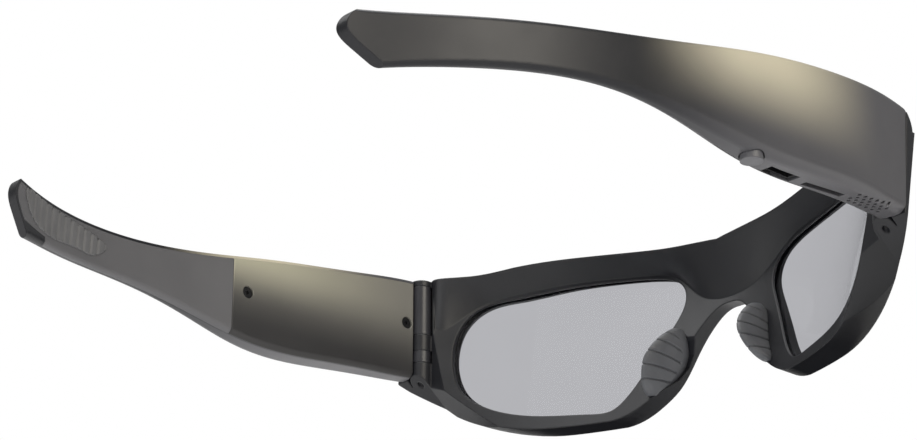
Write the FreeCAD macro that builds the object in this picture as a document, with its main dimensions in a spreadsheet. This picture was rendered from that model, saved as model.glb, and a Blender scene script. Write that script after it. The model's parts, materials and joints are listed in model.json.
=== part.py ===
"""Wrap-around smart glasses: a front with two lenses, two folding temples and the electronics inside.

Axes: +Z up, the front faces -Y and the temples run towards +Y. The wearer's left is +X.
Heights count from the lowest edge of the rims. Depths count from the hinge pins, towards the
wearer's ears, and every piece is placed so that the origin lies under the middle of the length.
"""

import FreeCAD, Part
import math
import os
import re

from FreeCAD import Placement, Rotation, Vector

SIZES = [
    # the front
    ("hinge_reach", 68.0, "sideways from the middle to each hinge pin"),
    ("front_reach", 41.3, "from the hinge pins forward to the top of the front"),
    ("front_height", 44.0, "height of the front above the rims' lowest edge"),
    ("front_radius", 97.0, "wrap radius of the front's outer face"),
    ("front_tilt", 0.235, "backward slope of the outer face, per millimetre down"),
    ("lip_reach", 39.2, "from the hinge pins forward to the rear lips of the lens openings, at the top"),
    ("lip_radius", 83.4, "wrap radius of the rear lips"),
    ("lip_tilt", 0.32, "backward slope of the rear lips, per millimetre down"),
    ("side_reach", 74.1, "sideways from the middle to the end pieces' outer faces"),
    ("bridge_top", 40.0, "height of the bridge"),
    ("end_top", 39.7, "height of the end pieces"),
    ("rim_flat", 39.0, "sideways reach of the flat stretch under each rim"),
    ("rim_corner", 48.5, "radius of the rims' lower outer corners"),
    ("end_under", 15.5, "height of the end pieces' underside at the seam"),
    ("under_slope", 0.78, "rise of the end pieces' underside per millimetre back"),
    ("inward_slope", 0.4, "fall of the end pieces' underside per millimetre inwards"),
    ("seam_depth", 2.0, "from the hinge pins back to the seam between front and temples"),
    ("cheek_inner", 70.95, "sideways from the middle to the inner face of a temple's cheek"),
    ("cheek_reach", 1.4, "from the hinge pins forward to the top of a cheek's front edge"),
    ("cheek_lean", 0.14, "forward lean of a cheek's front edge, per millimetre up"),
    ("corner_round", 5.2, "rounding of the end pieces' and cheeks' upper front corners"),
    ("corner_height", 34.2, "height where that rounding begins"),
    ("corner_slope", 0.42, "rise of that rounding per millimetre inwards"),
    ("relief_depth", 1.0, "from the hinge pins forward to the front's face behind the folded temples"),
    ("arch_height", 25.3, "height of the arch over the nose"),
    # the lenses
    ("lens_wall", 1.6, "thickness of a lens"),
    ("lens_inset", 0.6, "from the rear lip forward to the lens"),
    ("lens_bite", 1.2, "depth of the groove that holds a lens"),
    ("lens_play", 0.05, "clearance of a lens in its groove"),
    ("flare_out", 1.03, "sideways flare of the openings ahead of the lenses, per millimetre"),
    ("flare_up", 0.3, "upward flare of the openings ahead of the lenses, per millimetre"),
    # the nose pads
    ("pad_half_wall", 1.6, "half the thickness of a nose pad"),
    ("pad_core_half", 0.6, "half the thickness of the flange inside a nose pad"),
    # the hinges
    ("knuckle_radius", 2.5, "radius of the hinge knuckles"),
    ("knuckle_play", 0.35, "clearance round the knuckles"),
    ("pin_radius", 0.75, "radius of a hinge pin"),
    ("pin_play", 0.05, "running clearance of a hinge pin"),
    ("pin_under", 14.7, "height of a hinge pin's lower end"),
    ("pin_length", 24.5, "length of a hinge pin"),
    ("small_low", 19.0, "height of the lower knuckle's underside"),
    ("small_tall", 3.0, "height of the gap for the lower knuckle"),
    ("large_low", 26.0, "height of the upper knuckle's underside"),
    ("large_tall", 12.3, "height of the gap for the upper knuckle"),
    ("knuckle_gap", 0.1, "gap above and below each knuckle"),
    ("block_depth", 9.5, "from the hinge pins back to the end of a hinge block"),
    ("block_wall", 1.5, "thickness of a hinge block's plate"),
    # the temples, station by station from the seam to the tip
    ("seam_gap", 0.1, "gap between an end piece and a temple"),
    ("temple_length", 127.7, "from the hinge pins back to the temples' tips"),
    ("shoulder_back", 15.0, "from the hinge pins back to the shoulder"),
    ("bulge_back", 30.0, "from the hinge pins back to the bulge"),
    ("flank_back", 45.0, "from the hinge pins back to the flank"),
    ("waist_back", 56.0, "from the hinge pins back to the waist"),
    ("bend_back", 74.0, "from the hinge pins back to the bend"),
    ("ear_back", 93.0, "from the hinge pins back to the ear"),
    ("nape_back", 114.0, "from the hinge pins back to the nape"),
    ("tip_back", 129.0, "from the hinge pins back to the tip"),
    ("seam_inner", 67.0, "sideways from the middle to the seam's inner face"),
    ("shoulder_inner", 68.8, "sideways from the middle to the shoulder's inner face"),
    ("bulge_inner", 69.35, "sideways from the middle to the bulge's inner face"),
    ("flank_inner", 69.8, "sideways from the middle to the flank's inner face"),
    ("waist_inner", 70.05, "sideways from the middle to the waist's inner face"),
    ("bend_inner", 69.4, "sideways from the middle to the bend's inner face"),
    ("ear_inner", 65.7, "sideways from the middle to the ear's inner face"),
    ("nape_inner", 56.8, "sideways from the middle to the nape's inner face"),
    ("tip_inner", 47.6, "sideways from the middle to the tip's inner face"),
    ("seam_thick", 6.9, "thickness of the temple at the seam"),
    ("shoulder_thick", 7.5, "thickness of the temple at the shoulder"),
    ("bulge_thick", 8.15, "thickness of the temple at the bulge"),
    ("flank_thick", 7.25, "thickness of the temple at the flank"),
    ("waist_thick", 5.9, "thickness of the temple at the waist"),
    ("bend_thick", 3.5, "thickness of the temple at the bend"),
    ("ear_thick", 2.8, "thickness of the temple at the ear"),
    ("nape_thick", 2.7, "thickness of the temple at the nape"),
    ("tip_thick", 2.9, "thickness of the temple at the tip"),
    ("seam_under", 15.8, "height of the temple's underside at the seam"),
    ("shoulder_under", 14.8, "height of the temple's underside at the shoulder"),
    ("bulge_under", 13.7, "height of the temple's underside at the bulge"),
    ("flank_under", 13.1, "height of the temple's underside at the flank"),
    ("waist_under", 14.2, "height of the temple's underside at the waist"),
    ("bend_under", 17.1, "height of the temple's underside at the bend"),
    ("ear_under", 17.4, "height of the temple's underside at the ear"),
    ("nape_under", 15.1, "height of the temple's underside at the nape"),
    ("tip_under", 12.0, "height of the temple's underside at the tip"),
    ("seam_tall", 23.4, "height of the temple's section at the seam"),
    ("shoulder_tall", 23.7, "height of the temple's section at the shoulder"),
    ("bulge_tall", 22.8, "height of the temple's section at the bulge"),
    ("flank_tall", 21.3, "height of the temple's section at the flank"),
    ("waist_tall", 18.3, "height of the temple's section at the waist"),
    ("bend_tall", 12.4, "height of the temple's section at the bend"),
    ("ear_tall", 9.6, "height of the temple's section at the ear"),
    ("nape_tall", 9.8, "height of the temple's section at the nape"),
    ("tip_tall", 12.4, "height of the temple's section at the tip"),
    ("tip_height", 21.0, "height of the temples' rearmost point"),
    ("lower_round", 2.2, "rounding of a temple's lower outer edge"),
    ("upper_round", 1.0, "rounding of a temple's upper outer edge"),
    ("cover_round", 1.5, "rounding of a temple's lower inner edge"),
    ("cover_wall", 1.2, "thickness of the covers"),
    ("cover_rim", 0.7, "height of the shell's rim above the covers"),
    ("tip_rim", 1.0, "width of the shell's rim round the tail cover's end"),
    ("shell_wall", 1.2, "thickness of a shell's outer wall"),
    ("shell_floor", 1.2, "thickness of a shell's underside"),
    ("cavity_start", 5.5, "from the hinge pins back to the cavity"),
    ("cavity_end", 53.5, "from the hinge pins back to the cavity's end"),
    ("cover_seam", 55.7, "from the hinge pins back to the seam between the covers"),
    ("cover_gap", 0.1, "gap between the two covers"),
    ("notch_back", 115.0, "from the hinge pins back to the notch under the tail cover"),
    ("notch_height", 16.6, "height of the tail cover's lower edge behind the notch"),
    ("grip_proud", 0.3, "how far a grip stands out of the tail cover"),
    ("grip_sunk", 0.7, "how deep a grip sits in the tail cover"),
    ("screw_head", 1.4, "radius of a cover screw's head"),
    ("screw_head_tall", 0.7, "height of a cover screw's head"),
    ("screw_sunk", 0.4, "depth of a screw's head below the cover"),
    ("screw_shank", 0.6, "radius of a cover screw's thread"),
    ("screw_length", 3.2, "length of a cover screw's thread"),
    ("screw_play", 0.05, "clearance round a cover screw"),
    ("boss_radius", 2.0, "radius of the bosses for the cover screws"),
    ("front_screw_back", 4.6, "from the hinge pins back to the front cover screw"),
    ("front_screw_height", 28.6, "height of the front cover screw"),
    ("rear_screw_back", 51.4, "from the hinge pins back to the rear cover screw"),
    ("rear_screw_height", 24.8, "height of the rear cover screw"),
    # the electronics in the right temple
    ("board_inner", 72.6, "sideways from the middle to the main board"),
    ("board_wall", 0.8, "thickness of the circuit boards"),
    ("board_start", 18.4, "from the hinge pins back to the main board"),
    ("board_length", 30.6, "length of the main board"),
    ("board_low", 16.4, "height of the main board's lower edge"),
    ("board_tall", 14.6, "height of the main board"),
    ("port_play", 0.15, "clearance of the sockets in their openings"),
    ("usb_back", 38.4, "from the hinge pins back to the middle of the charging port"),
    ("usb_width", 7.6, "width of the charging port"),
    ("usb_wall", 2.6, "thickness of the charging port"),
    ("usb_deep", 5.4, "depth of the charging port"),
    ("usb_mouth", 6.6, "width of the charging port's mouth"),
    ("usb_mouth_wall", 1.8, "thickness of the charging port's mouth"),
    ("usb_inner", 71.0, "sideways from the middle to the charging port"),
    ("card_back", 25.1, "from the hinge pins back to the middle of the card slot"),
    ("card_width", 12.4, "width of the card socket"),
    ("card_wall", 1.4, "thickness of the card socket"),
    ("card_deep", 14.2, "depth of the card socket"),
    ("card_slot", 11.2, "width of the card slot"),
    ("card_slot_wall", 0.8, "thickness of the card slot"),
    ("button_back", 48.3, "from the hinge pins back to the middle of the button"),
    ("button_reach", 73.6, "sideways from the middle to the button"),
    ("button_radius", 2.2, "radius of the button"),
    ("button_play", 0.2, "gap round the button"),
    ("button_travel", 0.5, "travel of the button"),
    ("button_proud", 0.7, "how far the button stands out of the temple"),
    ("button_tall", 3.0, "height of the button above its visible face"),
    ("button_flange", 0.4, "how far the button's flange reaches under the temple's wall"),
    ("switch_size", 3.4, "width of the switch"),
    ("switch_tall", 2.4, "height of the switch"),
    ("speaker_start", 5.9, "from the hinge pins back to the speaker"),
    ("speaker_length", 11.6, "length of the speaker"),
    ("speaker_wall", 3.0, "width of the speaker"),
    ("speaker_tall", 3.2, "height of the speaker"),
    ("speaker_inner", 70.4, "sideways from the middle to the speaker"),
    ("speaker_low", 16.6, "height of the speaker's underside"),
    ("grille_hole", 0.42, "radius of the holes in the speaker grille"),
    ("grille_pitch", 1.85, "spacing of the holes along the grille"),
    ("grille_row", 1.1, "spacing of the grille's rows"),
    # the battery in the left temple
    ("battery_start", 14.0, "from the hinge pins back to the battery"),
    ("battery_length", 34.6, "length of the battery"),
    ("battery_wall", 3.2, "thickness of the battery"),
    ("battery_tall", 14.0, "height of the battery"),
    ("battery_low", 16.6, "height of the battery's underside"),
    ("battery_inner", 71.4, "sideways from the middle to the battery"),
    ("battery_round", 0.8, "rounding of the battery's long edges"),
    ("guard_length", 3.0, "length of the battery's protection board"),
    # the camera in the bridge
    ("camera_height", 34.0, "height of the camera"),
    ("camera_radius", 4.0, "radius of the camera's window"),
    ("camera_front", 38.2, "from the hinge pins forward to the camera's window"),
    ("window_wall", 0.8, "thickness of the camera's window"),
    ("barrel_radius", 2.6, "radius of the camera's lens barrel"),
    ("barrel_length", 2.6, "length of the camera's lens barrel"),
    ("camera_board", 5.4, "width of the camera's board"),
    # the ribbons in the brow
    ("ribbon_wall", 0.3, "thickness of a brow ribbon"),
    ("ribbon_tall", 2.0, "height of a brow ribbon"),
    ("ribbon_play", 0.2, "clearance of a ribbon in its channel"),
    ("ribbon_reach", 3.4, "from the front's outer face back to the ribbon"),
]

doc = FreeCAD.newDocument("smart_glasses")
sheet = doc.addObject("Spreadsheet::Sheet", "Sizes")
for row, (alias, value, meaning) in enumerate(SIZES, start=1):
    sheet.set(f"A{row}", alias)
    sheet.set(f"B{row}", str(value))
    sheet.setAlias(f"B{row}", alias)
    sheet.set(f"C{row}", meaning)
doc.recompute()

subparts = []
SIDES = {"left": 1, "right": -1}


def size(alias):
    """One driving dimension, read from the sheet."""
    return float(sheet.get(alias))


def bind(thing, prop, formula):
    """Tie a property to the sheet. In a formula, each word is an alias."""
    thing.setExpression(prop, re.sub(r"[a-z_]{3,}", lambda word: "Sizes." + word.group(), formula))


MIDDLE = "(temple_length - front_reach) / 2"
middle = (size("temple_length") - size("front_reach")) / 2


def keep(thing, label):
    """Name an object as a sub-part of the glasses."""
    thing.Label = label
    subparts.append(thing)
    return thing


def keep_shape(label, shape):
    """A sub-part whose shape comes from curves, moved from the hinge pins to the origin."""
    piece = doc.addObject("Part::Feature", label)
    piece.Shape = shape
    piece.Placement = Placement(Vector(0, -middle, 0), Rotation())
    return keep(piece, label)


def put(thing, x, y, z):
    """Bind a primitive's place; y counts from the hinge pins."""
    bind(thing, "Placement.Base.x", x)
    bind(thing, "Placement.Base.y", f"{y} - {MIDDLE}")
    bind(thing, "Placement.Base.z", z)


def box(name, side, x, y, z, width, depth, height):
    """A block by its corner nearest the nose; on the right side it is mirrored."""
    block = doc.addObject("Part::Box", name)
    bind(block, "Length", width)
    bind(block, "Width", depth)
    bind(block, "Height", height)
    put(block, x if side > 0 else f"-({x} + {width})", y, z)
    return block


def rod(name, side, x, y, z, radius, height, turn=Rotation()):
    """A cylinder along +Z, or along its turned axis."""
    cylinder = doc.addObject("Part::Cylinder", name)
    bind(cylinder, "Radius", radius)
    bind(cylinder, "Height", height)
    cylinder.Placement = Placement(Vector(), turn)
    put(cylinder, x if side > 0 else f"-({x})", y, z)
    return cylinder


def fuse(name, *things):
    """Several primitives joined into one."""
    joined = doc.addObject("Part::MultiFuse", name)
    joined.Shapes = list(things)
    joined.Refine = True
    return joined


def cut(name, base, tool):
    """One primitive less another."""
    rest = doc.addObject("Part::Cut", name)
    rest.Base = base
    rest.Tool = tool
    return rest


def mirrored(shape, side):
    """The left side's shape, or its mirror image for the right side."""
    return shape if side > 0 else shape.mirror(Vector(), Vector(1, 0, 0))


def block_shape(low, high):
    """A plain block between two corners."""
    low, high = Vector(*low), Vector(*high)
    span = high - low
    return Part.makeBox(span.x, span.y, span.z, low)


def spline(points):
    """A smooth edge through points."""
    curve = Part.BSplineCurve()
    curve.interpolate([Vector(*p) for p in points])
    return curve.toShape()


def smooth_loop(points, pieces=4):
    """A smooth closed wire through points, in a few edges."""
    curve = Part.BSplineCurve()
    curve.interpolate(Points=[Vector(*p) for p in points], PeriodicFlag=True)
    first, last = curve.FirstParameter, curve.LastParameter
    edges = []
    for i in range(pieces):
        part = curve.copy()
        part.segment(first + (last - first) * i / pieces, first + (last - first) * (i + 1) / pieces)
        edges.append(part.toShape())
    return Part.Wire(edges)


def polygon(points):
    """A closed wire through points."""
    corners = [Vector(*p) for p in points]
    return Part.makePolygon(corners + corners[:1])


# ---------------------------------------------------------------- the front

HINGE, TOP = size("hinge_reach"), size("front_height")


def wrap_depth(face, x, z):
    """Depth of a wrapped face: a cylinder whose axis leans back towards its foot."""
    reach, radius, tilt = (size(f"{face}_{word}") for word in ("reach", "radius", "tilt"))
    stretch = radius * math.hypot(1, tilt)
    return -reach + tilt * (TOP - z) + stretch * (1 - math.sqrt(1 - (x / radius) ** 2))


def wrap(face, grow=0):
    """The solid cylinder behind a wrapped face, or one further out."""
    reach, radius, tilt = (size(f"{face}_{word}") for word in ("reach", "radius", "tilt"))
    axis = Vector(0, -tilt, 1)
    top = Vector(0, radius * math.hypot(1, tilt) - reach, TOP)
    foot = top - axis * 150
    return Part.makeCylinder(radius + grow, 250, foot, axis)


def front_outline():
    """The front seen from ahead, as a solid along the depth."""
    side, flat, corner = size("side_reach"), size("rim_flat"), size("rim_corner")
    arch, end_top, bridge_top = size("arch_height"), size("end_top"), size("bridge_top")
    end_low = corner - math.sqrt(corner**2 - (side - flat) ** 2)
    halfway = (side + flat) / 2
    edges = []
    for sign in (1, -1):
        brow = [(0, bridge_top), (12, bridge_top + 1.6), (25, TOP - 0.9), (38, TOP - 0.1),
                (50, TOP - 1.3), (58, end_top + 0.7), (63, end_top)]
        nose = [(0, arch), (3.6, arch - 0.8), (6.2, arch - 3.2), (10.2, arch - 10), (14.3, arch - 18.3),
                (17.4, arch - 21.2), (21, arch - 23.6), (26.5, 0)]
        edges.append(spline([(sign * x, -60, z) for x, z in brow]))
        edges.append(spline([(sign * x, -60, z) for x, z in nose]))
        edges.append(Part.makeLine(Vector(sign * 26.5, -60, 0), Vector(sign * flat, -60, 0)))
        corner_middle = Vector(sign * halfway, -60, corner - math.sqrt(corner**2 - (halfway - flat) ** 2))
        edges.append(Part.Arc(Vector(sign * flat, -60, 0), corner_middle, Vector(sign * side, -60, end_low)).toShape())
        edges.append(Part.makeLine(Vector(sign * side, -60, end_low), Vector(sign * side, -60, end_top)))
        edges.append(Part.makeLine(Vector(sign * side, -60, end_top), Vector(sign * 63, -60, end_top)))
    outline = Part.Wire(Part.__sortEdges__(edges))
    return Part.Face(outline).extrude(Vector(0, 90, 0))


def brow_wedge():
    """The brow and bridge stand out behind the rear lips, in a slope down to the lens openings."""
    relief = size("relief_depth")
    half = [(0, -29.6, 40.2, 26), (9, -29.8, 41.2, 28.5), (17, -29.5, 42.2, 36), (27, -26.9, 43.3, 38.6),
            (38, -22.2, 43.9, 39.2), (47, -16.4, 43.2, 38.2), (53, -11.3, 42.0, 36.6),
            (57.6, -6.4, 40.6, 34.4), (62.2, -relief, 39.5, 28), (65.6, -relief, 39.4, 24)]
    stations = [(-x, *rest) for x, *rest in half[:0:-1]] + half
    wires = []
    for x, back, high, low in stations:
        high_depth = wrap_depth("lip", x, high + 1)
        low_depth = min(wrap_depth("lip", x, low), -relief)
        wires.append(polygon([(x, low_depth - 0.6, low), (x, back, high), (x, back, high + 1),
                              (x, high_depth - 0.6, high + 1)]))
    return Part.makeLoft(wires, True, False)


# A lens opening seen from ahead: sideways reach and height.
LENS = [(13.4, 30.8), (15.6, 34.4), (21, 36.9), (31, 38.3), (43, 38.1), (52.3, 36.1), (58.6, 33.4),
        (61.1, 27.5), (60.6, 17.5), (57.9, 10.4), (52.2, 6), (43, 3.6), (32, 2.7), (26.5, 2.9),
        (23.5, 5.8), (19.2, 14), (15, 22.6)]
AHEAD_OF_ALL = -60


def lens_outline(grow):
    """A lens opening, widened all round."""
    points = [Vector(x, AHEAD_OF_ALL, z) for x, z in LENS]
    curve = Part.BSplineCurve()
    curve.interpolate(Points=points, PeriodicFlag=True)
    widened = []
    for point in points:
        along = curve.tangent(curve.parameter(point))[0]
        widened.append(point + Vector(-along.z, 0, along.x) * grow)
    return Part.Face(smooth_loop(widened)).extrude(Vector(0, 90, 0))


def lens_flare():
    """Ahead of a lens its opening flares outwards and up, so the rim hides nothing from the eye."""
    lens_front = size("lens_inset") + size("lens_wall") + size("lens_play")
    slant = Vector(size("flare_out"), -1, size("flare_up"))
    points = []
    for x, z in LENS:
        start = Vector(x, wrap_depth("lip", x, z) - lens_front, z)
        points.append(start + slant * (start.y - AHEAD_OF_ALL))
    prism = Part.Face(smooth_loop(points)).extrude(slant * AHEAD_OF_ALL)
    return prism.cut(wrap("lip", lens_front))


def lens_slab(play):
    """The curved sheet that a lens is cut from."""
    near = size("lens_inset")
    return wrap("lip", near + size("lens_wall") + play).cut(wrap("lip", near - play))


# A pad's stations: height, sideways reach, front edge, rear edge.
PAD = [(4.9, 17.0, -25.8, -23.4), (6.4, 16.2, -27.6, -21.0), (9, 14.9, -31.0, -19.2), (12, 13.8, -33.0, -18.8),
       (15, 12.9, -33.4, -20.3), (18, 12.2, -32.2, -23.2), (20.3, 11.7, -29.8, -26.6)]


def pad_body():
    """A leaf-shaped nose pad, lofted through ovals."""
    wires = []
    for z, x, front, back in PAD:
        long_half = (back - front) / 2
        short_half = min(size("pad_half_wall"), 0.8 * long_half)
        oval = Part.Ellipse(Vector(x, front + 2 * long_half, z), Vector(x + short_half, front + long_half, z),
                            Vector(x, front + long_half, z))
        wires.append(Part.Wire([oval.toShape()]))
    return Part.makeLoft(wires, True, False)


def pad_core():
    """The flange that carries a pad, reaching back from the rim."""
    half = size("pad_core_half")
    wires = []
    for z, x, front, back in PAD[1:-1]:
        wires.append(polygon([(x - half, front - 2, z), (x + half, front - 2, z),
                              (x + half, back - 1.8, z), (x - half, back - 1.8, z)]))
    return Part.makeLoft(wires, True, True)


def nose_relief():
    """The room for the nose behind the pads' front edges."""
    wires = []
    for z, x, front, back in [(2.5, 18.8, -25, 0)] + PAD + [(23.4, 7.5, -29, 0)]:
        wires.append(polygon([(-x, front + 1, z), (x, front + 1, z), (x, 0, z), (-x, 0, z)]))
    return Part.makeLoft(wires, True, True)


def ribbon(grow):
    """A ribbon in the brow, from the camera's board to the end piece, or its channel."""
    wall = size("ribbon_wall") / 2 + grow
    tall = size("ribbon_tall") / 2 + grow
    board_depth = size("window_wall") + size("barrel_length") + size("board_wall") / 2 - size("camera_front")
    wires = []
    route = [(size("camera_board") / 2, board_depth, size("camera_height"))]
    for x, z in [(9, 36.5), (15, 39.2), (27, 41), (38, 41.4), (50, 40), (58, 37.6), (66, 35.5)]:
        route.append((x, wrap_depth("front", x, z) + size("ribbon_reach"), z))
    for x, y, z in route:
        wires.append(polygon([(x, y - wall, z - tall), (x, y + wall, z - tall), (x, y + wall, z + tall),
                              (x, y - wall, z + tall)]))
    return Part.makeLoft(wires, True, True)


def under_room():
    """The room under an end piece: its underside rises to the seam, and falls towards the rim."""
    wires = []
    for x, drop in ((90, 0), (HINGE - 2, 0), (HINGE - 28, 26 * size("inward_slope"))):
        heights = [size("end_under") + (y - size("seam_depth")) * size("under_slope") - drop for y in (-60, 20)]
        wires.append(polygon([(x, -60, heights[0]), (x, 20, heights[1]), (x, 20, -60), (x, -60, -60)]))
    return Part.makeLoft(wires, True, True)


def seam_room(inner, gap):
    """The room behind the leaning seam, outside a temple's hinge."""
    low, high = 0, size("large_low") + size("large_tall")
    lean, reach = size("cheek_lean"), size("cheek_reach")
    depths = [-reach - gap + lean * (high - z) for z in (low, 60)]
    outline = [(inner, depths[0], low), (inner, 30, low), (inner, 30, 60), (inner, depths[1], 60)]
    return Part.Face(polygon(outline)).extrude(Vector(20, 0, 0))


def corner_room():
    """What the rounding of the upper front corners takes away; it runs out towards the brow."""
    radius = size("corner_round")
    room = block_shape((-20, -30, 0), (45, 0, 40))
    room = room.cut(Part.makeCylinder(radius, 65, Vector(-20, 0, 0), Vector(1, 0, 0)))
    room.rotate(Vector(), Vector(0, 1, 0), math.degrees(math.atan(size("corner_slope"))))
    turned = Vector(size("side_reach"), size("seam_depth") + 0.2, size("corner_height"))
    room.translate(turned)
    return room


def knuckle_rooms():
    """The heights between which the temple's knuckles turn."""
    return [(size("small_low"), size("small_low") + size("small_tall")),
            (size("large_low"), size("large_low") + size("large_tall"))]


def front_frame():
    """The front: rims, bridge, brow and end pieces with their hinge lugs, in one moulding."""
    side, seam, relief = size("side_reach"), size("seam_depth"), size("relief_depth")
    radius = size("knuckle_radius")
    room = radius + size("knuckle_play")
    behind = wrap("front").common(block_shape((-90, -60, -5), (90, 10, TOP + 3)))
    body = behind.cut(wrap("lip")).common(block_shape((-90, -60, -5), (90, -relief, TOP + 3)))
    body = body.fuse(brow_wedge())
    for sign in (1, -1):
        end = block_shape((64.8, -16, 5), (side, -relief, size("end_top")))
        wall = block_shape((HINGE + room, -16, 5), (side + 0.5, seam, size("end_top")))
        lug = Part.makeCylinder(radius, size("end_top") - 5, Vector(HINGE, 0, 5))
        web = block_shape((HINGE - radius, -5, 5), (HINGE + room, 0, size("end_top")))
        for piece in (end, wall, lug, web):
            body = body.fuse(mirrored(piece, sign))
    body = body.common(behind).common(front_outline())
    for sign in (1, -1):
        body = body.cut(mirrored(seam_room(HINGE + room, size("seam_gap")), sign))
        body = body.cut(mirrored(corner_room(), sign))
        body = body.cut(mirrored(lens_outline(0), sign))
        body = body.cut(mirrored(lens_flare(), sign))
        body = body.cut(mirrored(lens_outline(size("lens_bite")).common(lens_slab(size("lens_play"))), sign))
    body = body.cut(nose_relief())
    for sign in (1, -1):
        flange = pad_core().common(behind)
        body = body.cut(mirrored(pad_body(), sign)).fuse(mirrored(flange, sign))
    for sign in (1, -1):
        body = body.cut(mirrored(under_room(), sign))
    for sign in (1, -1):
        for low, high in knuckle_rooms():
            pocket = Part.makeCylinder(room, high - low, Vector(HINGE, 0, low))
            pocket = pocket.fuse(block_shape((HINGE - room, 0, low), (HINGE + room, seam + 1, high)))
            body = body.cut(mirrored(pocket, sign))
        bore_tall = size("pin_under") + size("pin_length") + 0.05 - 12
        bore = Part.makeCylinder(size("pin_radius") + 0.01, bore_tall, Vector(HINGE, 0, 12))
        body = body.cut(mirrored(bore, sign))
        body = body.cut(mirrored(ribbon(size("ribbon_play")), sign))
    camera_deep = size("window_wall") + size("barrel_length") + size("board_wall") + 0.3
    mouth = size("camera_front") + 20
    body = body.cut(Part.makeCylinder(size("camera_radius") + 0.05, 20 + camera_deep,
                                      Vector(0, -mouth, size("camera_height")), Vector(0, 1, 0)))
    return body.removeSplitter()


keep_shape("front_frame", front_frame())
for name, sign in SIDES.items():
    lens = lens_outline(size("lens_bite") - size("lens_play")).common(lens_slab(0))
    keep_shape(f"lens_{name}", mirrored(lens, sign))
    keep_shape(f"nose_pad_{name}", mirrored(pad_body().cut(pad_core()), sign))
    keep_shape(f"brow_ribbon_{name}", mirrored(ribbon(0), sign))
    pin = rod(f"pin_{name}", sign, "hinge_reach", "0", "pin_under", "pin_radius", "pin_length")
    keep(pin, f"hinge_pin_{name}")

# The camera looks straight ahead through a round window in the bridge.
AHEAD = Rotation(Vector(1, 0, 0), -90)
window = rod("window", 1, "0", "-camera_front", "camera_height", "camera_radius", "window_wall", AHEAD)
keep(window, "camera_window")
barrel = rod("barrel", 1, "0", "-camera_front + window_wall", "camera_height", "barrel_radius", "barrel_length", AHEAD)
keep(barrel, "camera_barrel")
camera_board = doc.addObject("Part::Box", "camera_plate")
bind(camera_board, "Length", "camera_board")
bind(camera_board, "Width", "board_wall")
bind(camera_board, "Height", "camera_board")
put(camera_board, "-camera_board / 2", "-camera_front + window_wall + barrel_length",
    "camera_height - camera_board / 2")
keep(camera_board, "camera_board")

# ---------------------------------------------------------------- the temples

STATIONS = ["seam", "shoulder", "bulge", "flank", "waist", "bend", "ear", "nape", "tip"]


def station_depth(name):
    """Depth of a station along the temple."""
    return -size("cheek_reach") - 0.5 if name == "seam" else size(f"{name}_back")


def temple_section(name, inside, outside, under, above, rounds):
    """A temple's cross-section, moved in or out on each side, with its four corners rounded."""
    y = station_depth(name)
    thick = size(f"{name}_thick")
    low_x, high_x = size(f"{name}_inner") + inside, size(f"{name}_inner") + thick + outside
    low_z, high_z = size(f"{name}_under") + under, size(f"{name}_under") + size(f"{name}_tall") + above
    corners = [(low_x, low_z), (high_x, low_z), (high_x, high_z), (low_x, high_z)]
    if not rounds:
        return polygon([(x, y, z) for x, z in corners])
    starts, ends, arcs = [], [], []
    steps = [(0, -1), (1, 0), (0, 1), (-1, 0)]
    for (x, z), (in_x, in_z), wanted in zip(corners, steps, rounds):
        radius = min(wanted, 0.42 * thick)
        out_x, out_z = -in_z, in_x
        start = Vector(x - in_x * radius, y, z - in_z * radius)
        end = Vector(x + out_x * radius, y, z + out_z * radius)
        centre = start + end - Vector(x, y, z)
        middle_of_arc = centre + (Vector(x, y, z) - centre) * (1 / math.sqrt(2))
        arcs.append(Part.Arc(start, middle_of_arc, end).toShape())
        starts.append(start)
        ends.append(end)
    edges = []
    for i in range(4):
        edges.append(arcs[i])
        edges.append(Part.makeLine(ends[i], starts[(i + 1) % 4]))
    return Part.Wire(edges)


def temple_loft(inside=0, outside=0, under=0, above=0, rounds=None):
    """The temple's solid, or one that follows it at a distance."""
    return Part.makeLoft([temple_section(s, inside, outside, under, above, rounds) for s in STATIONS], True, False)


def temple_side(inset):
    """The temple seen from the side, up to its slanted, rounded tip."""
    end, mid = size("temple_length") - inset, size("tip_height")
    tip = spline([(0, end - 11, mid - 12.5), (0, end - 6.2, mid - 7.4 + inset / 2), (0, end - 2.3, mid - 3.6), (0, end, mid),
                  (0, end - 1, mid + 2.6), (0, end - 4, mid + 4.2), (0, end - 9, mid + 7)])
    rest = Part.makePolygon([Vector(0, end - 9, mid + 7), Vector(0, end - 9, 70), Vector(0, -9, 70),
                             Vector(0, -9, -20), Vector(0, end - 11, -20), Vector(0, end - 11, mid - 12.5)])
    return Part.Face(Part.Wire(Part.__sortEdges__([tip] + rest.Edges))).extrude(Vector(90, 0, 0))


def between(start, end):
    """The slice of a temple between two depths."""
    return block_shape((30, start, -10), (90, end, 70))


def screw_spots():
    """The two cover screws: depth, height, and the cover's face there."""
    spots = []
    for which in ("front", "rear"):
        y, z = size(f"{which}_screw_back"), size(f"{which}_screw_height")
        line = Part.makeLine(Vector(40, y, z), Vector(90, y, z))
        inner_face = min(v.Point.x for v in envelope.common(line).Vertexes)
        spots.append((inner_face, y, z))
    return spots


def grip_outline():
    """The long oval of a grip, seen from inside."""
    points = [(93.6, 23.3), (99.7, 24.3), (110.2, 24.2), (119.5, 24.0), (123.6, 23.2), (121.9, 19.5),
              (117.9, 17.6), (111.3, 17.6), (102.2, 19.0), (95.0, 21.0)]
    end = size("temple_length") - 127.7
    return Part.Face(smooth_loop([(30, y + end, z) for y, z in points])).extrude(Vector(60, 0, 0))


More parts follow.
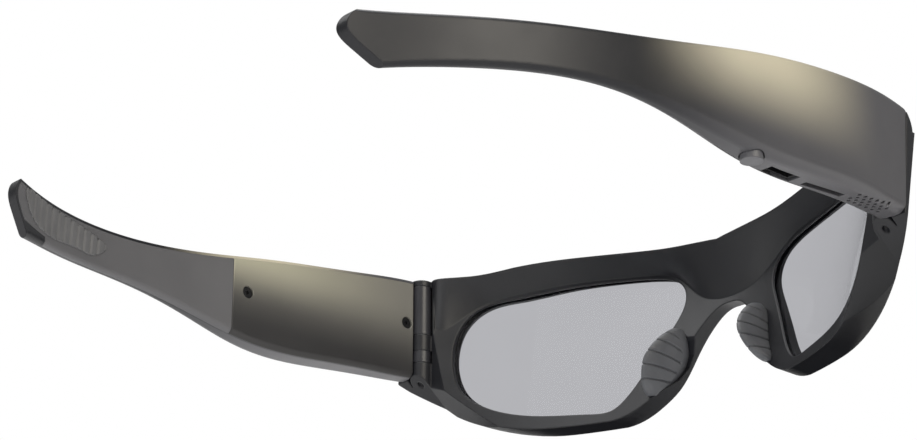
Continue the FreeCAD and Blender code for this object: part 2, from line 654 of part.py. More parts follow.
envelope = temple_loft(rounds=[size("cover_round"), size("lower_round"), size("upper_round"), 0.3])
envelope = envelope.common(temple_side(0))
hinge_side = block_shape((30, -10, -10), (size("cheek_inner"), size("seam_depth") + size("seam_gap"), 70))
ahead_of_cheek = block_shape((size("cheek_inner"), -10, -10), (90, 30, 70)).cut(seam_room(size("cheek_inner"), 0))
envelope = envelope.cut(hinge_side).cut(ahead_of_cheek).cut(corner_room())
lug_room = Part.makeCylinder(size("knuckle_radius") + size("knuckle_play"), 60, Vector(HINGE, 0, 0))
envelope = envelope.cut(lug_room)
cover_zone = temple_loft(inside=-4, outside=0, under=-9, above=-size("cover_rim"))
cover_core = temple_loft(inside=size("cover_wall"), outside=4, under=-20, above=20)
cover_zone = cover_zone.cut(cover_core)
screws = screw_spots()


def hinge_block(name, sign):
    """The knuckles, on a plate inside the temple that the front cover screw holds."""
    plate_x = "seam_inner + cover_wall + screw_play * 6"
    plate = box(f"plate_{name}", sign, plate_x, "seam_depth + seam_gap", "small_low + knuckle_gap",
                "block_wall", "block_depth - seam_depth - seam_gap", "large_low + large_tall - small_low - 2 * knuckle_gap")
    pieces = [plate]
    for which in ("small", "large"):
        low, tall = f"{which}_low + knuckle_gap", f"{which}_tall - 2 * knuckle_gap"
        barrel = rod(f"{which}_barrel_{name}", sign, "hinge_reach", "0", low, "knuckle_radius", tall)
        arm = box(f"{which}_arm_{name}", sign, plate_x, "0", low, f"hinge_reach + knuckle_radius - ({plate_x})",
                  "block_depth / 2", tall)
        pieces += [barrel, arm]
    solid = fuse(f"knuckles_{name}", *pieces)
    bore = rod(f"bore_{name}", sign, "hinge_reach", "0", "0", "pin_radius + pin_play", "front_height")
    return cut(f"hinge_{name}", solid, bore)


blocks = {name: hinge_block(name, sign) for name, sign in SIDES.items()}
doc.recompute()


def relieved_block(name, sign, cover):
    """A hinge block with the room for the front's lugs, the cover and its screw taken out."""
    shape = blocks[name].Shape.copy()
    shape.translate(Vector(0, middle, 0))
    reach = size("knuckle_radius") + size("knuckle_play")
    rooms = [(0, size("small_low") + size("knuckle_gap")),
             (size("small_low") + size("small_tall") - size("knuckle_gap"), size("large_low") + size("knuckle_gap")),
             (size("large_low") + size("large_tall") - size("knuckle_gap"), 60)]
    for low, high in rooms:
        shape = shape.cut(mirrored(Part.makeCylinder(reach, high - low, Vector(HINGE, 0, low)), sign))
    face, y, z = screws[0]
    play = size("screw_play")
    head_deep = size("screw_sunk") + size("screw_head_tall") + play
    for radius, deep in ((size("screw_shank") + play, 30), (size("screw_head") + play, head_deep)):
        hole = Part.makeCylinder(radius, deep, Vector(face, y, z), Vector(1, 0, 0))
        shape = shape.cut(mirrored(hole, sign))
    return shape.cut(mirrored(cover, sign))


def port_openings():
    """The right temple's openings, written for the left side: button, ports and speaker grille."""
    play = size("port_play")
    radius, inside = size("button_radius") + size("button_play"), size("flank_under") + size("shell_floor") + 0.1
    spot = (size("button_reach"), size("button_back"))
    tools = [Part.makeCylinder(radius, 12, Vector(*spot, 5)),
             Part.makeCylinder(radius + size("button_flange"), 2, Vector(*spot, inside))]
    for width, wall, back, inner, deep in (
        (size("usb_width") + 0.8, size("usb_wall"), size("usb_back"), size("usb_inner"), 12),
        (size("card_slot") + 0.8, size("card_slot_wall") + 0.4, size("card_back"),
         size("board_inner") - (size("card_wall") + size("card_slot_wall") + 0.4) / 2, 12),
    ):
        tools.append(block_shape((inner - play, back - width / 2, 5), (inner + wall + play, back + width / 2, 5 + deep)))
    count = int(size("speaker_length") / size("grille_pitch"))
    for row in range(4):
        x = size("speaker_inner") + 0.55 + row * size("grille_row")
        for i in range(count):
            y = size("speaker_start") + 0.6 + (i + 0.5 * (row % 2)) * size("grille_pitch")
            tools.append(Part.makeCylinder(size("grille_hole"), 12, Vector(x, y, 6)))
    return tools


def temple_pieces(name, sign):
    """A temple's shell, covers, grip and screws."""
    wall, floor, rim = size("shell_wall"), size("shell_floor"), size("cover_rim")
    cover = envelope.common(cover_zone)
    whole_side = temple_side(size("tip_rim"))
    notch = block_shape((30, size("notch_back"), -10), (90, 150, size("notch_height")))
    inner_cover = cover.common(between(0, size("cover_seam") - size("cover_gap")))
    tail_cover = cover.common(between(size("cover_seam"), 150)).common(whole_side).cut(notch)
    shell = envelope.cut(inner_cover).cut(tail_cover)
    seam_strip = cover.common(between(size("cover_seam") - size("cover_gap"), size("cover_seam")))
    shell = shell.cut(seam_strip)
    cavity = temple_loft(inside=size("cover_wall") - 0.01, outside=-wall, under=floor, above=-rim - 0.5)
    cavity = cavity.common(between(size("cavity_start"), size("cavity_end")))
    plate_low = size("small_low") - 0.2
    plate_high = size("large_low") + size("large_tall") + 0.1
    bed = block_shape((HINGE - 5, 0, plate_low), (HINGE + 2.85, size("block_depth") + 0.1, plate_high))
    cavity = cavity.fuse(bed.common(cover_core))
    face, y, z = screws[1]
    boss = Part.makeCylinder(size("boss_radius"), 30, Vector(face + size("cover_wall"), y, z), Vector(1, 0, 0))
    shell = shell.cut(cavity.cut(boss))
    block = relieved_block(name, sign, inner_cover)
    screw_shapes = []
    head, play = size("screw_head"), size("screw_play")
    for face, y, z in screws:
        axis = Vector(1, 0, 0)
        seat = face + size("screw_sunk")
        neck = seat + size("screw_head_tall")
        screw = Part.makeCylinder(head, size("screw_head_tall"), Vector(seat, y, z), axis)
        screw = screw.cut(Part.makeCylinder(0.35 * head, 0.4, Vector(seat, y, z), axis))
        screw_shapes.append(screw.fuse(Part.makeCylinder(size("screw_shank"), size("screw_length"), Vector(neck, y, z), axis)))
        inner_cover = inner_cover.cut(Part.makeCylinder(head + play, neck - face + 5, Vector(face - 5, y, z), axis))
        hole = Part.makeCylinder(size("screw_shank") + play, size("screw_length") + 0.3, Vector(neck - 0.1, y, z), axis)
        inner_cover = inner_cover.cut(hole)
        shell = shell.cut(hole)
    grip_zone = temple_loft(inside=-size("grip_proud"), outside=0, under=-9, above=9)
    grip_zone = grip_zone.cut(temple_loft(inside=size("grip_sunk"), outside=4, under=-20, above=20))
    grip = grip_outline().common(grip_zone)
    tail_cover = tail_cover.cut(grip)
    shell = shell.cut(grip)
    if name == "right":
        for tool in port_openings():
            shell = shell.cut(tool)
            inner_cover = inner_cover.cut(tool)
    keep_shape(f"temple_shell_{name}", mirrored(shell, sign))
    keep_shape(f"inner_cover_{name}", mirrored(inner_cover, sign))
    keep_shape(f"tail_cover_{name}", mirrored(tail_cover, sign))
    keep_shape(f"grip_{name}", mirrored(grip, sign))
    keep_shape(f"cover_screws_{name}", mirrored(Part.makeCompound(screw_shapes), sign))
    keep_shape(f"hinge_block_{name}", block)


for name, sign in SIDES.items():
    temple_pieces(name, sign)

# ---------------------------------------------------------------- the electronics

board = box("board", -1, "board_inner", "board_start", "board_low", "board_wall", "board_length", "board_tall")
usb_notch = box("usb_notch", -1, "board_inner - 1", "usb_back - usb_width / 2 - port_play", "0",
                "board_wall + 2", "usb_width + 2 * port_play", "flank_under + shell_floor + usb_deep + port_play")
keep(cut("board_cut", board, usb_notch), "main_board")

chips = doc.addObject("Part::Compound", "chips")
processor = box("processor", -1, "board_inner - 1", "button_back - 12", "board_low + 7", "1", "6", "6")
memory = box("memory", -1, "board_inner - 0.8", "button_back - 4.6", "board_low + 6", "0.8", "4.5", "6.5")
chips.Links = [processor, memory]
keep(chips, "board_chips")

usb_low = "flank_under + shell_floor - 0.5"
usb_case = box("usb_case", -1, "usb_inner", "usb_back - usb_width / 2", usb_low, "usb_wall", "usb_width", "usb_deep")
usb_hole = box("usb_hole", -1, "usb_inner + (usb_wall - usb_mouth_wall) / 2", "usb_back - usb_mouth / 2",
               usb_low + " - 1", "usb_mouth_wall", "usb_mouth", "usb_deep")
usb_tongue = box("usb_tongue", -1, "usb_inner + usb_wall / 2 - 0.3", "usb_back - 2", usb_low + " + 0.6",
                 "0.6", "4", "usb_deep - 1.2")
keep(fuse("usb", cut("usb_shell", usb_case, usb_hole), usb_tongue), "usb_port")

card_low = "shoulder_under + shell_floor + 0.2"
card_case = box("card_case", -1, "board_inner - card_wall", "card_back - card_width / 2", card_low,
                "card_wall", "card_width", "card_deep")
card_hole = box("card_hole", -1, "board_inner - (card_wall + card_slot_wall) / 2", "card_back - card_slot / 2",
                card_low + " - 1", "card_slot_wall", "card_slot", "card_deep")
keep(cut("card_socket", card_case, card_hole), "card_socket")

button_face = "flank_under - button_proud"
button_cap = rod("button_cap", -1, "button_reach", "button_back", button_face, "button_radius", "button_tall")
button_ring = rod("button_ring", -1, "button_reach", "button_back",
                  "flank_under + shell_floor + 0.3", "button_radius + button_flange", "0.6")
keep(fuse("button", button_cap, button_ring), "power_button")
switch = box("switch", -1, "board_inner + board_wall", "button_back - switch_size / 2",
             button_face + " + button_tall + button_travel + 0.1", "switch_size / 2 + 0.3", "switch_size", "switch_tall")
keep(switch, "button_switch")

speaker = box("speaker_case", -1, "speaker_inner", "speaker_start", "speaker_low",
              "speaker_wall", "speaker_length", "speaker_tall")
keep(speaker, "speaker")

battery = box("cell", 1, "battery_inner", "battery_start", "battery_low", "battery_wall", "battery_length", "battery_tall")
doc.recompute()
rounded = doc.addObject("Part::Fillet", "rounded_cell")
rounded.Base = battery
rounded.Edges = [(i, size("battery_round"), size("battery_round")) for i, edge in enumerate(battery.Shape.Edges, start=1)
                 if abs(edge.tangentAt(edge.FirstParameter).y) > 0.9]
keep(rounded, "battery")
guard = box("guard", 1, "battery_inner", "battery_start - guard_length - 0.2", "battery_low + 1",
            "board_wall", "guard_length", "battery_tall - 2")
keep(guard, "battery_board")

# ---------------------------------------------------------------- checks and files

doc.recompute()
for thing in doc.Objects:
    if "Invalid" in thing.State or "Error" in thing.State:
        raise RuntimeError(f"{thing.Label} failed: {thing.State}")
os.makedirs("parts", exist_ok=True)
for piece in subparts:
    if piece.Shape.isNull() or not piece.Shape.isValid():
        raise RuntimeError(f"{piece.Label} has no valid shape")
    piece.Shape.exportStep(f"parts/{piece.Label}.step")
    bounds = piece.Shape.BoundBox
    print(f"{piece.Label}: {len(piece.Shape.Solids)} solid(s), {piece.Shape.Volume:.1f} mm3, "
          f"y {bounds.YMin:.1f}..{bounds.YMax:.1f}, z {bounds.ZMin:.1f}..{bounds.ZMax:.1f}")
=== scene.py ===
import json
import math

import bmesh
import bpy
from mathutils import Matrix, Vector


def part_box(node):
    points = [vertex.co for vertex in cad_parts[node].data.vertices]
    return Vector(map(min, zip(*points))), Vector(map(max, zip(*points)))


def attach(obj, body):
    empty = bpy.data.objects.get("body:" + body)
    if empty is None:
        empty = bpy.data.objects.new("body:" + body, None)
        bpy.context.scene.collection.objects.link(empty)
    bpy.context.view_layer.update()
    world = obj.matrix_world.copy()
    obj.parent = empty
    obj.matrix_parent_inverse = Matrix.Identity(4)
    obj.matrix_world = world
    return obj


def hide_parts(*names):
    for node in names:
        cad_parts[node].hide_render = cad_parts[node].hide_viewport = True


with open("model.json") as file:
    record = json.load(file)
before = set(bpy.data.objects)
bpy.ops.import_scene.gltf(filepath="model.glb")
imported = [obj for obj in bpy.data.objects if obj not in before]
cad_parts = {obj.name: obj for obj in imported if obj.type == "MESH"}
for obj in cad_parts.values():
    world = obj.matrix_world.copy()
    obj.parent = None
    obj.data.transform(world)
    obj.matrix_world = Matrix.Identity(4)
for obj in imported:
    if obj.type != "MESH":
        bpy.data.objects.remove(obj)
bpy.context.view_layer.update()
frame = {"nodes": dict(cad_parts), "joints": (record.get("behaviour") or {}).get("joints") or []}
nodes = frame["nodes"]

# ------------------------------------------------------------------ front frame
# The front is one moulding in matt black nylon: rims, bridge, brow and the two end pieces
# with their hinge lugs. Its edges are softened, and its skin has the grain of the mould.

CLOUD_LOW, CLOUD_HIGH = 0.3, 0.7
MIX_FACTOR, MIX_FIRST, MIX_SECOND, MIX_RESULT = 0, 6, 7, 2
EDGE_SAMPLES = 6
SHARP_EDGE = 0.0003


def finish_of(name, colour, roughness, metallic=0.0):
    """A new material: its node tree, its shader and its object coordinates."""
    made = bpy.data.materials.new(name)
    made.use_nodes = True
    tree = made.node_tree
    shader = tree.nodes["Principled BSDF"]
    shader.inputs["Base Color"].default_value = (*colour, 1)
    shader.inputs["Roughness"].default_value = roughness
    shader.inputs["Metallic"].default_value = metallic
    place = tree.nodes.new("ShaderNodeTexCoord").outputs["Object"]
    return made, tree, shader, place


def mottle(tree, place, per_metre, low, high, socket, detail=3.0):
    """Slow variation: a noise between two values, into a socket."""
    cloud = tree.nodes.new("ShaderNodeTexNoise")
    cloud.inputs["Scale"].default_value = per_metre
    cloud.inputs["Detail"].default_value = detail
    tree.links.new(place, cloud.inputs["Vector"])
    ramp = tree.nodes.new("ShaderNodeMapRange")
    ramp.inputs["From Min"].default_value = CLOUD_LOW
    ramp.inputs["From Max"].default_value = CLOUD_HIGH
    ramp.inputs["To Min"].default_value = low
    ramp.inputs["To Max"].default_value = high
    tree.links.new(cloud.outputs["Fac"], ramp.inputs["Value"])
    tree.links.new(ramp.outputs["Result"], socket)


def grain(tree, place, shader, per_metre, depth, soft_edge=SHARP_EDGE):
    """The skin's relief: fine noise over edges that are rounded like a moulding's."""
    speck = tree.nodes.new("ShaderNodeTexNoise")
    speck.inputs["Scale"].default_value = per_metre
    speck.inputs["Detail"].default_value = 2.0
    tree.links.new(place, speck.inputs["Vector"])
    bump = tree.nodes.new("ShaderNodeBump")
    bump.inputs["Distance"].default_value = depth
    tree.links.new(speck.outputs["Fac"], bump.inputs["Height"])
    edge = tree.nodes.new("ShaderNodeBevel")
    edge.samples = EDGE_SAMPLES
    edge.inputs["Radius"].default_value = soft_edge
    tree.links.new(edge.outputs["Normal"], bump.inputs["Normal"])
    tree.links.new(bump.outputs["Normal"], shader.inputs["Normal"])


def tint(tree, place, shader, per_metre, first, second):
    """Slow colour variation between two close colours."""
    mix = tree.nodes.new("ShaderNodeMix")
    mix.data_type = "RGBA"
    mix.inputs[MIX_FIRST].default_value = (*first, 1)
    mix.inputs[MIX_SECOND].default_value = (*second, 1)
    mottle(tree, place, per_metre, 0.0, 1.0, mix.inputs[MIX_FACTOR])
    tree.links.new(mix.outputs[MIX_RESULT], shader.inputs["Base Color"])


def coat_nodes(names, material):
    """Give CAD pieces their finish."""
    for name in names:
        mesh = nodes[name].data
        mesh.materials.clear()
        mesh.materials.append(material)


NYLON_DARK = (0.006, 0.0063, 0.008)
NYLON_LIGHT = (0.0085, 0.0088, 0.0108)
black_nylon, tree, shader, place = finish_of("black_nylon", (0.007, 0.0073, 0.009), 0.4)
shader.inputs["Specular IOR Level"].default_value = 0.38
tint(tree, place, shader, 60, NYLON_DARK, NYLON_LIGHT)
mottle(tree, place, 90, 0.33, 0.43, shader.inputs["Roughness"])
grain(tree, place, shader, per_metre=6500, depth=0.000015, soft_edge=0.0005)
coat_nodes(["front_frame"], black_nylon)

# ------------------------------------------------------------------ lenses
# Two curved sheets of clear, light grey plastic, cut to the rims' outline and snapped
# into the rims' grooves. They dim what is behind them and cast no shadow of their own.

LENS_DARK = (0.44, 0.443, 0.465)
LENS_LIGHT = (0.46, 0.463, 0.485)
lens_grey, tree, shader, place = finish_of("lens_grey", (0.45, 0.453, 0.475), 0.0)
shader.inputs["Transmission Weight"].default_value = 1.0
shader.inputs["IOR"].default_value = 1.09
tint(tree, place, shader, 30, LENS_DARK, LENS_LIGHT)
coat_nodes(["lens_left", "lens_right"], lens_grey)
for side in ("left", "right"):
    nodes[f"lens_{side}"].visible_shadow = False

# ------------------------------------------------------------------ nose pads
# Soft rubber leaves pushed over flanges of the rims. Grooves fan out over the rear edge
# and stop, rounded, before the front edge.

PAD_SKIN = 0.00017
PAD_ROUNDS = 4
WELD = 0.000002
GROOVE_FAN = (-0.0580, 0.0098)
GROOVE_ANGLES = (-3.4, 1.2, 6.0, 10.8, 15.2)
GROOVE_HALF = 0.00030
GROOVE_DEEP = 0.00042
GROOVE_STOP = 0.0026
GROOVE_STOP_RUN = 0.0008
LEAF_TIP = 0.0065
LEAF_BULGE = 0.0075
hinge_line = frame["joints"][0]["pos_m"][1]


def soft_copy(node, name, voxel, rounds):
    """A CAD piece's shape with its edges softened, as a new piece that stands for it."""
    bpy.ops.object.select_all(action="DESELECT")
    bpy.ops.mesh.primitive_cube_add(size=1)
    piece = bpy.context.object
    piece.name = name
    piece.data = nodes[node].data.copy()
    bpy.ops.object.mode_set(mode="EDIT")
    bpy.ops.mesh.select_all(action="SELECT")
    bpy.ops.mesh.remove_doubles(threshold=WELD)
    bpy.ops.object.mode_set(mode="OBJECT")
    remesh = piece.modifiers.new("skin", "REMESH")
    remesh.mode = "VOXEL"
    remesh.voxel_size = voxel
    remesh.use_smooth_shade = True
    smooth = piece.modifiers.new("soften", "SMOOTH")
    smooth.factor = 0.5
    smooth.iterations = rounds
    for modifier in ("skin", "soften"):
        bpy.ops.object.modifier_apply(modifier=modifier)
    return piece


def press_in(piece, depth_at, *where):
    """Push a piece's skin in along its normals, by a depth for each vertex."""
    shape = bmesh.new()
    shape.from_mesh(piece.data)
    moves = [(vert, vert.normal * -depth_at(vert, *where)) for vert in shape.verts]
    for vert, move in moves:
        vert.co += move
    shape.normal_update()
    shape.to_mesh(piece.data)
    shape.free()


def ease(value):
    """From 0 to 1, softly."""
    value = min(max(value, 0.0), 1.0)
    return value * value * (3 - 2 * value)


def groove_depth(vert, low, high):
    """Depth of the fan of grooves on a pad that fills the box from low to high."""
    spot = vert.co
    ahead = spot.y - hinge_line - GROOVE_FAN[0]
    up = spot.z - GROOVE_FAN[1]
    reach = math.hypot(ahead, up)
    middle_height = (low.z + high.z) / 2
    half_height = (high.z - low.z) / 2
    bulge = math.sqrt(max(0.0, 1 - ((spot.z - middle_height) / half_height) ** 2))
    front_edge = high.y - LEAF_TIP - LEAF_BULGE * bulge + GROOVE_STOP
    stop = ease((spot.y - front_edge) / GROOVE_STOP_RUN)
    depth = 0.0
    for angle in GROOVE_ANGLES:
        across = abs(math.atan2(up, ahead) - math.radians(angle)) * reach
        depth = max(depth, 1 - ease(across / GROOVE_HALF))
    return depth * stop * GROOVE_DEEP


pad_rubber, tree, shader, place = finish_of("pad_rubber", (0.055, 0.057, 0.063), 0.5)
tint(tree, place, shader, 300, (0.05, 0.052, 0.058), (0.062, 0.064, 0.07))
mottle(tree, place, 200, 0.42, 0.58, shader.inputs["Roughness"])
grain(tree, place, shader, per_metre=5000, depth=0.00001, soft_edge=0.0001)
for side in ("left", "right"):
    pad = soft_copy(f"nose_pad_{side}", f"ribbed_nose_pad_{side}", PAD_SKIN, PAD_ROUNDS)
    low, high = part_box(f"nose_pad_{side}")
    press_in(pad, groove_depth, low, high)
    pad.data.materials.clear()
    pad.data.materials.append(pad_rubber)
    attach(pad, "front")
    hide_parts(f"nose_pad_{side}")

# ------------------------------------------------------------------ hinges
# Each temple's knuckles turn between the front's lugs on a bright steel pin. The
# knuckles are smooth black plastic, on a plate inside the temple.

pin_steel, tree, shader, place = finish_of("pin_steel", (0.75, 0.75, 0.76), 0.2, 1.0)
mottle(tree, place, 900, 0.14, 0.26, shader.inputs["Roughness"])
coat_nodes(["hinge_pin_left", "hinge_pin_right"], pin_steel)

hinge_black, tree, shader, place = finish_of("hinge_black", (0.014, 0.014, 0.017), 0.32)
mottle(tree, place, 300, 0.28, 0.38, shader.inputs["Roughness"])
grain(tree, place, shader, per_metre=5200, depth=0.00001, soft_edge=0.00015)
coat_nodes(["hinge_block_left", "hinge_block_right"], hinge_black)

# ------------------------------------------------------------------ temple shells and inner covers
# Hollow mouldings under a satin metallic coat. The bronze along the front half is a painted
# reflection of a warm lamp, and its run-out to near black towards the tips and the lower
# edge is painted shade.

# Where the painted bronze reflection and the painted shade towards the tips fall, and their
# colours.
PAINTED_REFLECTION_RISES = (-0.034, 0.002)
PAINTED_REFLECTION_FALLS = (0.036, 0.006)
PAINTED_REFLECTION_CLIMBS = (0.0165, 0.034)
PAINTED_SHADE_TOWARDS_TIPS = (-0.005, 0.036)
SHELL_GREY = (0.07, 0.069, 0.075)
TIP_PAINTED_SHADE = (0.008, 0.0083, 0.0105)
SHELL_PAINTED_REFLECTION = (0.5, 0.46, 0.35)
COVER_PAINTED_LIGHT_CLIMBS = (0.0165, 0.0335)
COVER_REFLECTION_REARWARD = (-0.045, 0.012)
COVER_REFLECTION_CLIMBS = (0.022, 0.0345)
COVER_PAINTED_SHADE = (0.035, 0.034, 0.034)
COVER_PAINTED_LIGHT_GREY = (0.17, 0.163, 0.145)
COVER_PAINTED_REFLECTION = (0.42, 0.4, 0.3)


def fade(tree, coordinate, start, end):
    """From 0 to 1 between two values of a coordinate, softly."""
    ramp = tree.nodes.new("ShaderNodeMapRange")
    ramp.interpolation_type = "SMOOTHSTEP"
    ramp.inputs["From Min"].default_value = start
    ramp.inputs["From Max"].default_value = end
    tree.links.new(coordinate, ramp.inputs["Value"])
    return ramp.outputs["Result"]


def product(tree, first, second):
    """Two fades multiplied."""
    times = tree.nodes.new("ShaderNodeMath")
    times.operation = "MULTIPLY"
    tree.links.new(first, times.inputs[0])
    tree.links.new(second, times.inputs[1])
    return times.outputs["Value"]


def blended(tree, factor, first, second):
    """A colour between two, by a fade."""
    mix = tree.nodes.new("ShaderNodeMix")
    mix.data_type = "RGBA"
    for number, colour in ((MIX_FIRST, first), (MIX_SECOND, second)):
        if isinstance(colour, tuple):
            mix.inputs[number].default_value = (*colour, 1)
        else:
            tree.links.new(colour, mix.inputs[number])
    tree.links.new(factor, mix.inputs[MIX_FACTOR])
    return mix.outputs[MIX_RESULT]


def along_and_height(tree, place):
    """The coordinate along a temple and the one up it."""
    split = tree.nodes.new("ShaderNodeSeparateXYZ")
    tree.links.new(place, split.inputs["Vector"])
    return split.outputs["Y"], split.outputs["Z"]


# Shells: a painted bronze reflection of a warm lamp, high up near the front end.
shell_paint, tree, shader, place = finish_of("shell_paint", (0.05, 0.05, 0.055), 0.34, 0.35)
along, height = along_and_height(tree, place)
painted_reflection = product(tree, fade(tree, along, *PAINTED_REFLECTION_RISES), fade(tree, along, *PAINTED_REFLECTION_FALLS))
painted_reflection = product(tree, painted_reflection, fade(tree, height, *PAINTED_REFLECTION_CLIMBS))
# The grey coat darkens to near black towards the tips: painted shade.
tip_painted_shade = fade(tree, along, *PAINTED_SHADE_TOWARDS_TIPS)
body_colour_with_painted_shade = blended(tree, tip_painted_shade, SHELL_GREY, TIP_PAINTED_SHADE)
tree.links.new(blended(tree, painted_reflection, body_colour_with_painted_shade, SHELL_PAINTED_REFLECTION), shader.inputs["Base Color"])
mottle(tree, place, 120, 0.31, 0.38, shader.inputs["Roughness"])
grain(tree, place, shader, per_metre=9000, depth=0.000006)
coat_nodes(["temple_shell_left", "temple_shell_right"], shell_paint)

# Inner covers: painted shade darkens the lower part and the upper part is painted lighter, with a
# painted bronze reflection along the top that fades out towards the front end.
cover_paint, tree, shader, place = finish_of("cover_paint", (0.2, 0.19, 0.17), 0.34, 0.45)
along, height = along_and_height(tree, place)
painted_light_upper = fade(tree, height, *COVER_PAINTED_LIGHT_CLIMBS)
reflection_rear = fade(tree, along, *COVER_REFLECTION_REARWARD)
shade_painted_base = blended(tree, painted_light_upper, COVER_PAINTED_SHADE, COVER_PAINTED_LIGHT_GREY)
painted_reflection_mask = product(tree, painted_light_upper, product(tree, reflection_rear, fade(tree, height, *COVER_REFLECTION_CLIMBS)))
tree.links.new(blended(tree, painted_reflection_mask, shade_painted_base, COVER_PAINTED_REFLECTION), shader.inputs["Base Color"])
mottle(tree, place, 120, 0.31, 0.38, shader.inputs["Roughness"])
grain(tree, place, shader, per_metre=9000, depth=0.000006)
coat_nodes(["inner_cover_left", "inner_cover_right"], cover_paint)

# ------------------------------------------------------------------ tail covers and grips
# The tail covers are long plates of matt grey plastic that close the rear of each temple.
# A ribbed rubber grip is set into each one.

RIB_PITCH = 0.00235
RIB_DEEP = 0.0004
RIB_START = 0.0012
RIB_BOW = 6.0
RIB_CLOSES, RIB_OPENS = 0.12, 0.62
RIB_END, RIB_END_RUN = 0.0006, 0.001
FACES_INWARDS = 0.2
GRIP_SKIN = 0.00022
GRIP_ROUNDS = 2


def rib_depth(vert, low, inwards):
    """Depth of the ribs' gaps on the side of a grip that touches the head."""
    if vert.normal.x * inwards < FACES_INWARDS:
        return 0.0
    spot = vert.co
    bow = RIB_BOW * (spot.z - low.z) ** 2
    phase = ((spot.y - low.y - RIB_START + bow) / RIB_PITCH) % 1.0
    ends = ease((spot.y - low.y - RIB_END) / RIB_END_RUN)
    if phase < RIB_CLOSES:
        gap = 1 - ease(phase / RIB_CLOSES)
    else:
        gap = ease((phase - RIB_OPENS) / (1 - RIB_OPENS))
    return gap * RIB_DEEP * ends


tail_grey, tree, shader, place = finish_of("tail_grey", (0.07, 0.069, 0.073), 0.48)
tint(tree, place, shader, 50, (0.066, 0.065, 0.069), (0.076, 0.075, 0.079))
mottle(tree, place, 100, 0.44, 0.54, shader.inputs["Roughness"])
grain(tree, place, shader, per_metre=6500, depth=0.00002)
coat_nodes(["tail_cover_left", "tail_cover_right"], tail_grey)

grip_rubber, tree, shader, place = finish_of("grip_rubber", (0.08, 0.08, 0.083), 0.55)
tint(tree, place, shader, 300, (0.072, 0.072, 0.075), (0.088, 0.088, 0.091))
mottle(tree, place, 200, 0.5, 0.64, shader.inputs["Roughness"])
grain(tree, place, shader, per_metre=5000, depth=0.00001, soft_edge=0.0001)
for side, inwards in (("left", -1), ("right", 1)):
    grip = soft_copy(f"grip_{side}", f"ribbed_grip_{side}", GRIP_SKIN, GRIP_ROUNDS)
    low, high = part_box(f"grip_{side}")
    press_in(grip, rib_depth, low, inwards)
    grip.data.materials.clear()
    grip.data.materials.append(grip_rubber)
    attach(grip, f"{side}_temple")
    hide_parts(f"grip_{side}")

# ------------------------------------------------------------------ screws, button and sockets
# Blackened screws hold the inner covers. The button and the two sockets sit in the
# right temple's underside.

screw_black, tree, shader, place = finish_of("screw_black", (0.02, 0.02, 0.021), 0.35, 0.7)
mottle(tree, place, 900, 0.28, 0.45, shader.inputs["Roughness"])
coat_nodes(["cover_screws_left", "cover_screws_right"], screw_black)

button_grey, tree, shader, place = finish_of("button_grey", (0.06, 0.06, 0.066), 0.38)
mottle(tree, place, 500, 0.34, 0.46, shader.inputs["Roughness"])
grain(tree, place, shader, per_metre=6000, depth=0.00001, soft_edge=0.0003)
coat_nodes(["power_button"], button_grey)

# The sockets' metal is darkened to near black: painted shade of their recesses.
socket_painted_shade, tree, shader, place = finish_of("socket_painted_shade", (0.05, 0.05, 0.052), 0.35, 0.9)
mottle(tree, place, 900, 0.3, 0.42, shader.inputs["Roughness"])
coat_nodes(["usb_port", "card_socket"], socket_painted_shade)

# ------------------------------------------------------------------ electronics inside
# Green boards, black chips, a foil cell, a speaker, the camera and amber ribbons, all
# hidden behind the covers and in the brow.

BOARDS = ["main_board", "battery_board", "camera_board"]
MOULDED_PARTS = ["board_chips", "button_switch", "camera_barrel", "speaker"]
RIBBONS = ["brow_ribbon_left", "brow_ribbon_right"]
SMOOTHEST, ROUGHEST = 0.9, 1.15

for name, colour, roughness, metallic, members in (
    ("board_green", (0.02, 0.1, 0.045), 0.4, 0.0, BOARDS),
    ("chip_black", (0.02, 0.02, 0.021), 0.45, 0.0, MOULDED_PARTS),
    ("ribbon_amber", (0.32, 0.16, 0.03), 0.35, 0.0, RIBBONS),
    ("cell_foil", (0.6, 0.6, 0.62), 0.3, 0.9, ["battery"]),
    ("window_black", (0.012, 0.012, 0.014), 0.08, 0.0, ["camera_window"]),
):
    made, tree, shader, place = finish_of(name, colour, roughness, metallic)
    low, high = SMOOTHEST * roughness, ROUGHEST * roughness
    mottle(tree, place, 700, low, high, shader.inputs["Roughness"])
    coat_nodes(members, made)

# ------------------------------------------------------------------ floor, light and camera
# The glasses stand on a pale studio floor under four soft lamps. The camera looks up from
# under the floor's level, so the floor is open from below and casts no shadow.

FLOOR_WIDTH = 6
LIT_BY_BACKDROP, SEEN_BACKDROP = 0.36, 1.0
bpy.ops.mesh.primitive_plane_add(size=FLOOR_WIDTH, location=(0, 0, 0))
floor = bpy.context.object
floor.name = "floor"
floor.visible_shadow = False
floor_white, tree, shader, place = finish_of("floor_white", (0.82, 0.82, 0.82), 0.8)
mottle(tree, place, 2, 0.75, 0.85, shader.inputs["Roughness"])
below = tree.nodes.new("ShaderNodeNewGeometry").outputs["Backfacing"]
clear = tree.nodes.new("ShaderNodeBsdfTransparent")
mixed = tree.nodes.new("ShaderNodeMixShader")
tree.links.new(below, mixed.inputs["Fac"])
tree.links.new(shader.outputs["BSDF"], mixed.inputs[1])
tree.links.new(clear.outputs["BSDF"], mixed.inputs[2])
tree.links.new(mixed.outputs["Shader"], tree.nodes["Material Output"].inputs["Surface"])
floor.data.materials.append(floor_white)

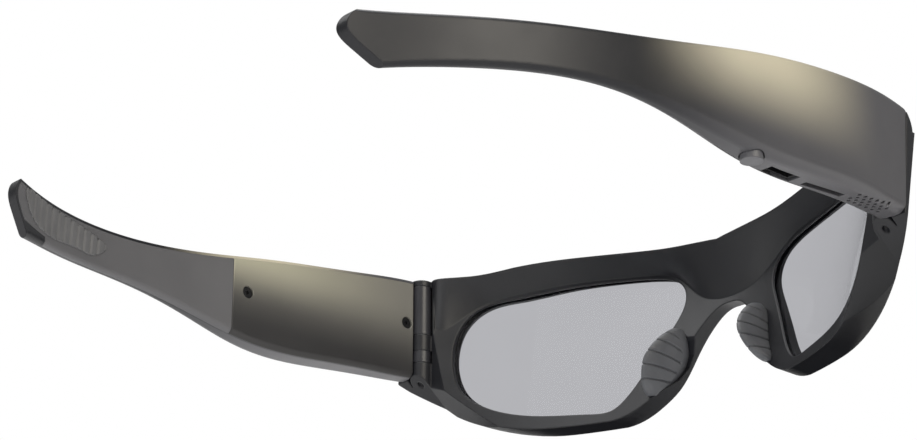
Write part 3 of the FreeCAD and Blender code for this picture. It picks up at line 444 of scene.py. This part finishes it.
world = bpy.data.worlds.new("studio")
bpy.context.scene.world = world
world.use_nodes = True
sky = world.node_tree
back = sky.nodes["Background"]
back.inputs["Color"].default_value = (1, 1, 1, 1)
seen = sky.nodes.new("ShaderNodeLightPath")
level = sky.nodes.new("ShaderNodeMapRange")
level.inputs["To Min"].default_value = LIT_BY_BACKDROP
level.inputs["To Max"].default_value = SEEN_BACKDROP
either = sky.nodes.new("ShaderNodeMath")
either.operation = "MAXIMUM"
sky.links.new(seen.outputs["Is Camera Ray"], either.inputs[0])
sky.links.new(seen.outputs["Is Transmission Ray"], either.inputs[1])
sky.links.new(either.outputs["Value"], level.inputs["Value"])
sky.links.new(level.outputs["Result"], back.inputs["Strength"])


def soft_light(name, spot, aim, width, height, power, colour=(1, 1, 1)):
    """A large soft lamp at a place, turned to a point."""
    bpy.ops.object.light_add(type="AREA", location=spot)
    lamp = bpy.context.object
    lamp.name = name
    lamp.data.shape = "RECTANGLE"
    lamp.data.size = width
    lamp.data.size_y = height
    lamp.data.energy = power
    lamp.data.color = colour
    lamp.rotation_euler = (Vector(aim) - Vector(spot)).to_track_quat("-Z", "Y").to_euler()


FOOT = (0, 0, 0)
RIMS = (0, 0, 0.02)
WARM = (1, 0.94, 0.82)
soft_light("overhead", (0.1, 0.2, 0.9), FOOT, width=1.0, height=1.0, power=9)
soft_light("side_warm", (-0.8, 0.1, 0.35), RIMS, width=0.5, height=0.7, power=5, colour=WARM)
soft_light("from_behind", (-0.3, 0.9, -0.1), RIMS, width=0.8, height=0.6, power=4)
soft_light("from_below", (-0.1, 0.1, -0.7), RIMS, width=0.9, height=0.9, power=6)

spot = Vector((-0.3227, 0.3175, -0.1615))
target = Vector((0.00267, 0.0068, 0.02287))
view_turn = (target - spot).to_track_quat("-Z", "Y").to_euler()
bpy.ops.object.camera_add(location=spot, rotation=view_turn)
camera = bpy.context.object
camera.data.sensor_width = 36
camera.data.lens = 92.32
camera.data.clip_start = 0.01
bpy.context.scene.camera = camera
bpy.context.scene.view_settings.view_transform = "Standard"
